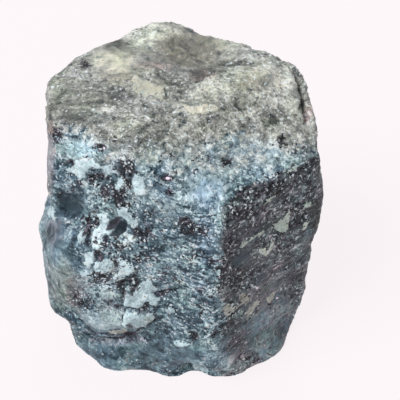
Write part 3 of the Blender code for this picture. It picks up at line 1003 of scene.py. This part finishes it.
for middle, radius, push in DENTS.values():
    reach = np.linalg.norm(places / MM - np.array(middle), axis=1) / radius
    relief += push * (1.0 - soft_step(reach, 0.15, 1.0))
print("relief from", round(relief.min(), 2), "to", round(relief.max(), 2), "mm")

# %% [markdown]
# ## Moving the points
#
# Everything so far is one number for each point, and only now does the surface move. A small notch
# beside the toe is cut straight back as well. The points stay within the box of the plain solid, so the
# stone keeps its measured size, and those of the base stay level so that it stands still.

# %% Move the points, inside the solid's box and flat on the floor
def inside_box(points):
    """The points, kept within the solid's box, with those of the base on the floor."""
    kept = np.clip(points, LOWEST + 1e-6, HIGHEST - 1e-6)
    kept[height < 0.05, 2] = 0.0
    return kept


NOTCH_PLACE = np.array((3.7, -15.6, 0.0))
NOTCH_RADIUS = 2.8
NOTCH_PULL = 1.0
notch_reach = np.linalg.norm(places / MM - NOTCH_PLACE, axis=1) / NOTCH_RADIUS
notch = np.zeros_like(places)
notch[:, 1] = NOTCH_PULL * MM * (1.0 - soft_step(notch_reach, 0.15, 1.0))
sideways = normals.copy()
sideways[:, 2] *= soft_step(height, 0.0, 0.6)
write_places(inside_box(places + notch + sideways * relief[:, None] * MM))
print("the stone measures", np.round(np.ptp(read_points("place"), axis=0) / MM, 2), "mm")

# %% [markdown]
# ## Grain
#
# Broken corundum is never smooth between its flakes. The even, all-over grain needs no drawing: two
# Displace modifiers with cloud textures push the points in and out along their normals, coarse lumps
# first and fine ones on them. A vertex group says how much of it each place gets, so that the rubbed
# hollows stay calm.

# %% Press the grain in
GRAIN = {"coarse grain": (2.4, 0.34), "fine grain": (0.8, 0.16)}
SHARP_EDGE = math.radians(50)
rough_group = stone.vertex_groups.new(name="rough ground")
for index, weight in enumerate((0.35 + 0.65 * rough_ground) * soft_step(height, 0.0, 1.0)):
    rough_group.add([index], float(weight), "REPLACE")
for name, (size, depth) in GRAIN.items():
    cloud_texture = bpy.data.textures.new(name, "CLOUDS")
    cloud_texture.noise_scale = size * MM
    cloud_texture.noise_depth = 3
    press = stone.modifiers.new(name, "DISPLACE")
    press.texture = cloud_texture
    press.texture_coords = "LOCAL"
    press.strength = depth * MM
    press.vertex_group = "rough ground"
    bpy.ops.object.modifier_apply(modifier=press.name)
stone.vertex_groups.clear()
write_places(inside_box(read_points("place")))
rise = np.sum((read_points("place") - places) * normals, axis=1) / MM
# lighter where the grain lifts the surface and darker where it sinks: wear on the rises, and painted shade
# in the small hollows
store("rise_wear_and_shade", soft_step(rise, -0.25, 0.35))
print("the surface now rises from", round(float(rise.min()), 2), "to", round(float(rise.max()), 2), "mm")
bpy.ops.object.shade_smooth_by_angle(angle=SHARP_EDGE)

# %% [markdown]
# ## The material
#
# One material covers the stone. It mixes four kinds of ground, the olive crust, the blue body, its pale
# edges and the brown side, each a ramp of four tones driven by noises of several sizes, and lays flecks,
# chips and stains over them. The stored numbers say where, and fine noise makes every border ragged. A
# node tree of this size is easier to read as sums than as wires, so small helpers make the nodes.

# %% An empty material and two helpers
material = bpy.data.materials.new("corundum")
material.use_nodes = True
tree = material.node_tree
surface = tree.nodes["Principled BSDF"]
position = tree.nodes.new("ShaderNodeTexCoord").outputs["Object"]


def give(socket, value):
    """Sets a socket to a value or links it to another node's output."""
    if isinstance(value, bpy.types.NodeSocket):
        tree.links.new(value, socket)
    else:
        socket.default_value = value


def calc(operation, first, second=0.0, clamp=False):
    """A Math node."""
    node = tree.nodes.new("ShaderNodeMath")
    node.operation = operation
    node.use_clamp = clamp
    give(node.inputs[0], first)
    give(node.inputs[1], second)
    return node.outputs[0]


def tell(what):
    """Says what has been made and how many nodes the material has so far."""
    print(what, "made,", len(tree.nodes), "nodes so far")


tell("an empty material")

# %% [markdown]
# ## Crystal grains
#
# Close up, the stone is a mosaic of small crystals, each with its own tone and its own tilt. Soft noise
# can't give that, but the cells of a Voronoi texture can. Bending the place a little before the cells
# are looked up makes their borders ragged, as broken crystals have.

# %% Crystal grains: cells with a tone, a chance value and a tilt of their own
WOBBLE_SIZE = 0.9
WOBBLE_REACH = 1.1
MIDDLE = (0.5, 0.5, 0.5)


def vector_calc(operation, first, second):
    """A Vector Math node."""
    node = tree.nodes.new("ShaderNodeVectorMath")
    node.operation = operation
    give(node.inputs[0], first)
    give(node.inputs[1], second)
    return node


wobble = tree.nodes.new("ShaderNodeTexNoise")
wobble.inputs["Scale"].default_value = 1.0 / (WOBBLE_SIZE * MM)
wobble.inputs["Detail"].default_value = 3.0
wobble.inputs["Roughness"].default_value = 0.65
give(wobble.inputs["Vector"], position)
centred = vector_calc("SUBTRACT", wobble.outputs["Color"], MIDDLE).outputs["Vector"]
scaled_wobble = vector_calc("MULTIPLY", centred, (WOBBLE_REACH * MM,) * 3).outputs["Vector"]
ragged_place = vector_calc("ADD", position, scaled_wobble).outputs["Vector"]


def crystals(size, offset=0.0):
    """Ragged crystal grains of a size in mm: a chance tone around 0, a second chance and a tilted facet."""
    shifted = vector_calc("ADD", ragged_place, (offset, offset, offset)).outputs["Vector"]
    cells = tree.nodes.new("ShaderNodeTexVoronoi")
    cells.inputs["Scale"].default_value = 1.0 / (size * MM)
    give(cells.inputs["Vector"], shifted)
    parts = tree.nodes.new("ShaderNodeSeparateColor")
    give(parts.inputs["Color"], cells.outputs["Color"])
    offset_in_cell = vector_calc("SUBTRACT", shifted, cells.outputs["Position"]).outputs["Vector"]
    tilt = vector_calc("SUBTRACT", cells.outputs["Color"], MIDDLE).outputs["Vector"]
    slope = vector_calc("DOT_PRODUCT", offset_in_cell, tilt).outputs["Value"]
    facet = calc("MULTIPLY", slope, 1.0 / (size * MM))
    return calc("SUBTRACT", parts.outputs["Red"], 0.5), parts.outputs["Green"], facet


big_tone, _, big_facet = crystals(1.5)
small_tone, small_chance, small_facet = crystals(0.62, 0.31)
tiny_tone, tiny_chance, tiny_facet = crystals(0.30, 0.17)
dot_tone, dot_chance, _ = crystals(0.19, 0.57)
tell("crystal grains")

# %% [markdown]
# ## Clouds, patches, grain and dust
#
# Real stone varies at every scale at once. Noises from six millimetres down to a quarter of one are made
# once and shared by all the colours, so that a dark patch is dark in the crust and in the body alike.
# Stretched noises stand for growth lines, slanting scores, flowing and upright texture.

# %% Noises of several sizes
def stored(name):
    """The number kept for each point under this name."""
    node = tree.nodes.new("ShaderNodeAttribute")
    node.attribute_name = name
    return node.outputs["Fac"]


def weighted(*pairs):
    """The sum of values, each times its weight."""
    total = None
    for value, weight in pairs:
        node = tree.nodes.new("ShaderNodeMath")
        node.operation = "MULTIPLY_ADD"
        give(node.inputs[0], value)
        give(node.inputs[1], weight)
        give(node.inputs[2], 0.0 if total is None else total)
        total = node.outputs[0]
    return total


def grains(size, detail, roughness=0.6, stretch=(1.0, 1.0, 1.0), distortion=0.0, place=None):
    """Noise with lumps of a size in mm, around zero."""
    scaled = tree.nodes.new("ShaderNodeMapping")
    scaled.inputs["Scale"].default_value = [1.0 / (size * MM * part) for part in stretch]
    give(scaled.inputs["Vector"], position if place is None else place)
    node = tree.nodes.new("ShaderNodeTexNoise")
    node.inputs["Scale"].default_value = 1.0
    node.inputs["Detail"].default_value = detail
    node.inputs["Roughness"].default_value = roughness
    node.inputs["Distortion"].default_value = distortion
    give(node.inputs["Vector"], scaled.outputs["Vector"])
    return calc("SUBTRACT", node.outputs["Fac"], 0.5)


def along_scores(length, width, depth):
    """Places measured along, across and out of the scores, in lumps of three sizes in mm."""
    node = tree.nodes.new("ShaderNodeCombineXYZ")
    directions = (along_streak, across_streak, out_of_side)
    for socket, direction, size in zip(node.inputs, directions, (length, width, depth)):
        scaled = [float(part) / (size * MM) for part in direction]
        give(socket, vector_calc("DOT_PRODUCT", position, scaled).outputs["Value"])
    return node.outputs["Vector"]


cloud = grains(6.0, 3.0)
blue_cloud = grains(4.5, 3.0)
side_cloud = grains(3.6, 2.0)
patch = grains(2.0, 5.0, 0.65, distortion=0.6)
blotch = grains(1.25, 3.0, 0.55, distortion=0.9)
grain = grains(0.75, 4.0, 0.7)
dust = grains(0.26, 2.0, 0.7)
growth_noise = grains(1.0, 2.0, 0.7, stretch=(2.0, 2.0, 0.30), distortion=0.2)
growth_lines = calc("MULTIPLY", growth_noise, stored("growth_lines"))
slanting = grains(1.0 / MM, 5.0, 0.7, distortion=0.3, place=along_scores(4.2, 0.62, 2.5))
flow_noise = grains(0.8, 4.0, 0.65, stretch=(3.4, 0.8, 0.8), distortion=0.9)
flow_lines = calc("MULTIPLY", flow_noise, stored("flowing"))
upright_noise = grains(1.1, 3.0, 0.55, stretch=(0.8, 0.8, 2.2), distortion=0.1)
upright_lines = calc("MULTIPLY", upright_noise, stored("upright"))
light = stored("light_zone")
warm = stored("warm_zone")
# lighter on rises and darker in hollows: partly wear, partly painted shade
wear_and_shade = stored("rise_wear_and_shade")
calm_zone = stored("calm")
lively = calc("SUBTRACT", 1.0, weighted((calm_zone, 0.85)))
gentle = calc("SUBTRACT", 1.0, weighted((calm_zone, 0.60)))
grit = calc("MULTIPLY", weighted((grain, 1.0), (dust, 0.55)), gentle)
tones = weighted((big_tone, 0.16), (small_tone, 0.29), (tiny_tone, 0.32), (dot_tone, 0.25))
mosaic = calc("MULTIPLY", tones, lively)
tell("noises")

# %% [markdown]
# ## The crust of the top
#
# The top carries a thin weathered skin, olive grey with cream patches. One value decides how light each
# point is, and a ramp of four tones taken from weathered stone turns it into colour. A single colour
# with bumps would look like painted plaster.

# %% Olive crust
def ramp(value, *stops):
    """A colour ramp; every stop is a place and a colour."""
    node = tree.nodes.new("ShaderNodeValToRGB")
    while len(node.color_ramp.elements) < len(stops):
        node.color_ramp.elements.new(0.5)
    for element, (place, colour) in zip(node.color_ramp.elements, stops):
        element.position = place
        element.color = (*colour, 1.0)
    give(node.inputs["Fac"], value)
    return node.outputs["Color"]


CRUST_TONES = (
    (0.05, (0.085, 0.090, 0.084)), (0.36, (0.238, 0.245, 0.224)), (0.62, (0.43, 0.44, 0.40)),
    (0.95, (0.76, 0.77, 0.70)),
)
crust_value = weighted(
    (mosaic, 0.8), (cloud, 0.8), (patch, 1.1), (blotch, 0.7), (grit, 0.55), (light, 0.40), (wear_and_shade, 0.22),
    (flow_lines, 1.4),
)
crust_colour = ramp(calc("ADD", crust_value, 0.36), *CRUST_TONES)
tell("crust")

# %% [markdown]
# ## The blue body
#
# This is the sapphire itself: slate blue in the depths, grey-blue on worn faces and nearly white where
# it is bruised. The growth lines take part here, because the layers differ in tone as well as in
# height.

# %% Blue body
BODY_TONES = (
    (0.02, (0.014, 0.030, 0.042)), (0.34, (0.100, 0.165, 0.205)), (0.60, (0.260, 0.375, 0.415)),
    (0.95, (0.74, 0.88, 0.88)),
)
body_value = weighted(
    (mosaic, 1.10), (cloud, 0.6), (patch, 1.0), (blotch, 0.8), (grit, 0.78), (light, 0.45), (wear_and_shade, 0.22),
    (growth_lines, 1.7), (upright_lines, 0.20),
)
body_colour = ramp(calc("ADD", body_value, 0.32), *BODY_TONES)
tell("blue body")

# %% [markdown]
# ## The bleached edges
#
# Along the brow and the shoulder the blue is bleached to a pale cyan grey by countless small bruises.
# It uses the same value as the body with a lighter ramp, so that the pattern runs on across the border.

# %% Pale ground
PALE_TONES = (
    (0.02, (0.075, 0.105, 0.118)), (0.34, (0.205, 0.275, 0.300)), (0.62, (0.345, 0.450, 0.480)),
    (0.95, (0.66, 0.80, 0.84)),
)
pale_colour = ramp(calc("ADD", body_value, 0.34), *PALE_TONES)
tell("bleached ground")

# %% [markdown]
# ## The brown side, darkened with painted shade
#
# The right side is duller, a brownish grey with slanting scores. Its value gets the slanting noise on
# top of the others, and its ramp is darker: partly its own tone, partly painted shade of the side that
# turns from the lamp.

# %% Brown side
# brownish tones, darkened as painted shade of the side turned from the lamp
SIDE_TONES_WITH_SHADE = (
    (0.05, (0.010, 0.013, 0.016)), (0.40, (0.086, 0.104, 0.122)), (0.66, (0.215, 0.240, 0.260)),
    (0.97, (0.62, 0.66, 0.65)),
)
side_value = weighted(
    (mosaic, 1.15), (cloud, 0.6), (patch, 0.8), (blotch, 0.4), (grit, 0.75),
    (calc("MULTIPLY", slanting, lively), 1.9), (light, 0.45), (wear_and_shade, 0.15),
)
side_colour_with_shade = ramp(calc("ADD", side_value, 0.30), *SIDE_TONES_WITH_SHADE)
tell("brown side")

# %% [markdown]
# ## Joining the grounds
#
# Geology has no straight borders. Each stored share is shaken by the noises before it is used, so that
# crust, body, bleached edge and brown side bite into each other. Thin tints then warm, cool or redden
# the result by zones.

# %% Join the grounds, then warm and cool them
WARM_TINT = (1.04, 0.98, 0.87)
COOL_TINT = (0.84, 1.00, 1.10)
LAVENDER_TINT = (0.96, 0.98, 1.08)
ROSY_TINT = (1.10, 0.89, 0.93)
SIDE_ROSY_TINT = (1.10, 0.93, 0.98)
SIDE_GREEN_TINT = (0.86, 1.03, 1.01)
BLUER_TINT = (0.98, 0.99, 1.04)
GREENER_TINT = (0.97, 1.01, 0.95)


def step_node(value, start, end):
    """A soft step from zero at the start to one at the end."""
    node = tree.nodes.new("ShaderNodeMapRange")
    node.interpolation_type = "SMOOTHSTEP"
    give(node.inputs["Value"], value)
    give(node.inputs["From Min"], start)
    give(node.inputs["From Max"], end)
    return node.outputs["Result"]


def blend(share, first, second, kind="MIX"):
    """The first colour, covered by the second as far as the share says."""
    node = tree.nodes.new("ShaderNodeMix")
    node.data_type = "RGBA"
    node.blend_type = kind
    give(node.inputs["Factor"], share)
    give(node.inputs[6], first)
    give(node.inputs[7], second)
    return node.outputs[2]


def tinted(colour, share, tint):
    """The colour, multiplied by a tint as far as the share says."""
    return blend(share, colour, (*tint, 1.0), kind="MULTIPLY")


ragged = weighted((patch, 2.0), (grain, 1.2), (small_tone, 0.4), (tiny_tone, 0.3))
crust_share = step_node(calc("ADD", stored("crust"), ragged), 0.15, 0.85)
side_share = step_node(calc("ADD", stored("brown_and_shaded_side"), ragged), 0.25, 0.75)
pale_share = step_node(calc("ADD", stored("pale_ground"), ragged), 0.20, 0.80)
ground = blend(crust_share, blend(pale_share, body_colour, pale_colour), crust_colour)
ground = blend(side_share, ground, side_colour_with_shade)
warm_share = step_node(weighted((warm, 1.0), (patch, 1.5)), 0.15, 1.1)
cool_share = step_node(weighted((warm, -1.0), (patch, 1.2)), 0.15, 1.1)
lavender_share = step_node(calc("ADD", stored("lavender"), patch), 0.2, 0.9)
rosy_share = step_node(weighted((stored("rosy"), 1.0), (patch, 1.6), (grain, 0.6)), 0.15, 1.0)
side_patches = weighted((side_cloud, 1.0), (grain, 0.15))
side_rosy_share = calc("MULTIPLY", step_node(side_patches, 0.00, 0.14), side_share)
side_green_share = calc("MULTIPLY", step_node(side_patches, 0.00, -0.14), side_share)
for share, tint in (
    (warm_share, WARM_TINT), (cool_share, COOL_TINT), (lavender_share, LAVENDER_TINT),
    (rosy_share, ROSY_TINT), (side_rosy_share, SIDE_ROSY_TINT), (side_green_share, SIDE_GREEN_TINT),
    (step_node(blue_cloud, 0.00, 0.12), BLUER_TINT), (step_node(blue_cloud, 0.00, -0.12), GREENER_TINT),
):
    ground = tinted(ground, share, tint)
tell("joined ground")

# %% [markdown]
# ## Colouring the chips
#
# The stored distance becomes an edge that wanders by a tenth of a millimetre. A dark line just outside
# it stands for the shadow and dirt that gather there. Chips in the crust are creamier than those in the
# blue.

# %% Pale chips and tan stains
RIM_COLOUR = (0.030, 0.045, 0.056, 1.0)
CHIP_TONES = ((0.10, (0.31, 0.41, 0.44)), (0.45, (0.58, 0.74, 0.79)), (0.85, (0.84, 0.97, 1.00)))
TAN_TONES = ((0.2, (0.30, 0.305, 0.27)), (0.8, (0.62, 0.63, 0.56)))
CRUST_CHIP_TINT = (0.88, 0.72, 0.58)
SIDE_CHIP_TINT = (0.86, 0.78, 0.66)
WARM_CHIP_TINT = (0.98, 0.90, 0.83)
chip_edge = weighted(
    (stored("pale_depth"), 1.0), (grain, 0.8), (dust, 0.5), (small_tone, 0.25), (tiny_tone, 0.20))
chip_share = step_node(chip_edge, -0.04, 0.06)
rim_gaps = step_node(weighted((patch, 1.0), (blotch, 1.0)), -0.06, 0.10)
rim_share = calc("MULTIPLY", step_node(chip_edge, -0.26, -0.12), rim_gaps)
ground = blend(calc("MULTIPLY", rim_share, 0.55), ground, RIM_COLOUR)
chip_value = weighted((patch, 1.0), (grain, 0.5), (cloud, 0.7), (mosaic, 0.5), (light, 0.7))
chip_colour = ramp(calc("ADD", chip_value, 0.42), *CHIP_TONES)
for share, tint in (
    (crust_share, CRUST_CHIP_TINT), (side_share, SIDE_CHIP_TINT), (warm_share, WARM_CHIP_TINT),
):
    chip_colour = tinted(chip_colour, share, tint)
ground = blend(calc("MULTIPLY", chip_share, 0.92), ground, chip_colour)
tan_edge = weighted((stored("tan_depth"), 1.0), (grain, 1.1), (small_tone, 0.30))
tan_colour = ramp(calc("ADD", weighted((patch, 1.4), (grain, 1.0)), 0.5), *TAN_TONES)
ground = blend(calc("MULTIPLY", step_node(tan_edge, -0.05, 0.08), 0.85), ground, tan_colour)
tell("chips and stains")

# %% [markdown]
# ## Dashes on the brown side
#
# Fine pale slivers lie along the scores. They are too many to trace, so they are stretched noise that
# is cut off high, which leaves only its peaks.

# %% Pale dashes that slant across the brown side
DASH_COLOUR = (0.32, 0.35, 0.34, 1.0)
dashes = grains(1.0 / MM, 2.0, 0.5, distortion=0.4, place=along_scores(2.2, 0.38, 1.2))
dash_value = weighted((dashes, 1.0), (cloud, 0.35), (patch, 0.25), (dust, 0.25))
dash_share = calc("MULTIPLY", step_node(dash_value, 0.185, 0.24), side_share)
ground = blend(calc("MULTIPLY", dash_share, 0.70), ground, DASH_COLOUR)
tell("dashes")

# %% [markdown]
# ## Flecks, and painted shadow
#
# A crystal grain turns dark when its chance value is below the likelihood stored for its place. This
# gives whole dark grains with crisp borders, which a threshold on soft noise wouldn't. The traced
# clumps and the cracks join them, and so do the lines and shapes of painted shadow under the step and
# the ledge.

# %% Dark flecks
FLECK_AND_SHADOW_TONES = ((0.25, (0.003, 0.003, 0.005)), (0.66, (0.012, 0.011, 0.017)), (0.95, (0.22, 0.19, 0.25)))
flecks = stored("flecks")
fleck_edge = weighted(
    (flecks, 0.50), (side_share, 0.10), (crust_share, -0.07), (patch, 0.45), (grain, 0.25),
    (lively, 0.10), (chip_share, -0.14),
)
small_flecks = step_node(calc("SUBTRACT", calc("ADD", fleck_edge, -0.07), small_chance), 0.0, 0.05)
tiny_flecks = step_node(calc("SUBTRACT", calc("ADD", fleck_edge, -0.05), tiny_chance), 0.0, 0.05)
slate_and_shade_share = step_node(weighted((stored("slate_and_shade_depth"), 1.0), (grain, 0.5), (patch, 0.5)), -0.08, 0.14)
plum_share = step_node(weighted((stored("plum_depth"), 1.0), (grain, 0.35)), -0.05, 0.08)
smooth_patch = calc("MAXIMUM", slate_and_shade_share, plum_share)
loose_flecks = calc("MAXIMUM", small_flecks, tiny_flecks)
loose_flecks = calc("MULTIPLY", loose_flecks, calc("SUBTRACT", 1.0, smooth_patch))
clump_and_shadow_edge = weighted(
    (stored("dark_grain_and_shadow_depth"), 1.0), (grain, 1.2), (dust, 0.6), (small_tone, 0.45), (tiny_tone, 0.60),
    (dot_tone, 0.3),
)
# the traced shapes under the ledge darken here too, as painted shadow
dark_share = calc("MAXIMUM", loose_flecks, step_node(clump_and_shadow_edge, -0.02, 0.07))
# the painted shadow lines under the step and the ledge are darkened here with the cracks
dark_share = calc("MAXIMUM", dark_share, step_node(stored("crack_and_shadow_line"), 0.45, 0.85))
fleck_value = weighted((dust, 1.2), (grain, 0.8), (tiny_tone, 0.6))
fleck_and_shadow_colour = ramp(calc("ADD", fleck_value, 0.5), *FLECK_AND_SHADOW_TONES)
# one near-black for flecks, grains and cracks, and as painted shadow for the lines and shapes under the step
# and the ledge
ground = blend(calc("MULTIPLY", dark_share, 0.94), ground, fleck_and_shadow_colour)
tell("dark flecks")

# %% [markdown]
# ## Pits and bright points
#
# Under a window many tiny facets flash and many tiny pits stay black. Both are chosen from the smallest
# grains, most of them among the flecks and few in the calm hollows. They are colour and not mirrors, so
# they look alike from all sides.

# %% Pits and bright points
PIT_COLOUR = (0.03, 0.036, 0.042, 1.0)
GLINT_COLOUR = (0.74, 0.82, 0.86, 1.0)
FLASH_COLOUR = (0.92, 0.78, 0.92, 1.0)
luck = weighted(
    (dark_share, -0.02), (calm_zone, -0.045), (flecks, 0.035), (side_share, 0.004), (patch, 0.20),
    (grain, 0.10),
)
pit_share = step_node(calc("SUBTRACT", dot_chance, luck), 0.08, 0.05)
ground = blend(calc("MULTIPLY", pit_share, 0.65), ground, PIT_COLOUR)
small_glint = step_node(calc("ADD", dot_chance, luck), 0.945, 0.965)
large_glint = step_node(calc("ADD", tiny_chance, luck), 0.970, 0.982)
glint_share = calc("MULTIPLY", calc("MAXIMUM", small_glint, large_glint), 0.70)
ground = blend(glint_share, ground, GLINT_COLOUR)
ground = blend(step_node(stored("glints"), 0.45, 0.85), ground, FLASH_COLOUR)
tell("pits and bright points")

# %% [markdown]
# ## The smooth windows
#
# The bare slate patches and the eye are laid on last, over flecks and points, because the polish there
# is unbroken. In the hollow between the body and the lump this dark slate is partly painted shade.

# %% Smooth dark patches
SLATE_AND_SHADE_TONES = ((0.0, (0.004, 0.010, 0.017)), (0.9, (0.046, 0.080, 0.102)))
PLUM_TONES = ((0.2, (0.036, 0.036, 0.048)), (0.8, (0.100, 0.098, 0.128)))
slate_and_shade_value = weighted((patch, 0.8), (grain, 0.4), (calm_zone, 0.8))
slate_and_shade_cover = calc("ADD", weighted((calm_zone, -0.42)), 0.96)
ground = blend(
    calc("MULTIPLY", slate_and_shade_share, slate_and_shade_cover), ground, ramp(calc("ADD", slate_and_shade_value, 0.1), *SLATE_AND_SHADE_TONES))
plum_colour = ramp(calc("ADD", weighted((patch, 1.4), (grain, 0.8)), 0.5), *PLUM_TONES)
ground = blend(calc("MULTIPLY", plum_share, 0.94), ground, plum_colour)
give(surface.inputs["Base Color"], ground)
tell("smooth patches")

# %% [markdown]
# ## Gloss and the last relief
#
# Corundum bends light strongly, hence its high index, but a rough surface scatters most of it and the
# shine is kept low. Relief finer than the mesh goes into the bump, with the tilts of the crystal grains
# as its main part.

# %% Gloss and fine bumps
CORUNDUM_INDEX = 1.76
SHINE = 0.11
ROUGHNESS = 0.42
BUMP_STRENGTH = 0.85
BUMP_HEIGHT = 0.55
roughness = weighted((grain, 0.5), (small_tone, 0.2), (dark_share, -0.10))
give(surface.inputs["Roughness"], calc("ADD", roughness, ROUGHNESS, clamp=True))
surface.inputs["IOR"].default_value = CORUNDUM_INDEX
surface.inputs["Specular IOR Level"].default_value = SHINE
grain_tilts = weighted((big_facet, 0.50), (small_facet, 0.42), (tiny_facet, 0.16))
bumps = weighted(
    (patch, 0.4), (blotch, 0.3), (grain, 0.3), (dust, 0.12), (growth_lines, 0.6),
    (calc("MULTIPLY", slanting, side_share), 0.5), (dark_share, -0.12), (chip_share, 0.10),
    (calc("MULTIPLY", grain_tilts, lively), 1.0),
)
bump = tree.nodes.new("ShaderNodeBump")
bump.inputs["Strength"].default_value = BUMP_STRENGTH
bump.inputs["Distance"].default_value = BUMP_HEIGHT * MM
give(bump.inputs["Height"], bumps)
give(surface.inputs["Normal"], bump.outputs["Normal"])
stone.data.materials.clear()
stone.data.materials.append(material)
tell("gloss and bumps")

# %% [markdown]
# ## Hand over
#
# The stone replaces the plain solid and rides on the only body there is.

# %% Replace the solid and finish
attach(stone, "root")
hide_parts(SOLID_NAME)
bpy.context.view_layer.update()
